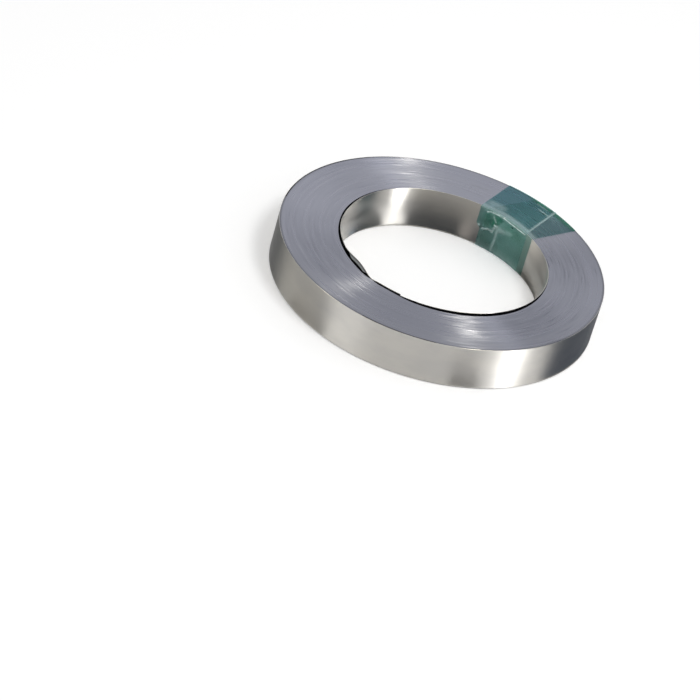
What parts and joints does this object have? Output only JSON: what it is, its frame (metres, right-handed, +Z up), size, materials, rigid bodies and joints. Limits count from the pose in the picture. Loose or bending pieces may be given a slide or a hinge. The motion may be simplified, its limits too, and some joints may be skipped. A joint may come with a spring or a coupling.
{
  "type": "coil of nickel-plated steel strip",
  "caption": "Flat coil of thin plated steel strip wound tight round an open bore, with a loose innermost turn and wraps of tinted clear adhesive tape holding it shut.",
  "frame": {"origin": "on the coil's axis, at the level it rests on", "axes": "+Z up along the coil's axis; +Y away from the viewer; the tape crosses the far right of the coil, between +X and +Y"},
  "size_m": [0.145, 0.145, 0.0206],
  "materials": {
    "strip": "bright rolled nickel plate, with satin turns of slit edges on the ends",
    "tape": "glossy clear green film"
  },
  "bodies": {
    "root": {"strip_coil": "strip", "binding_tape": "tape"}
  },
  "joints": []
}
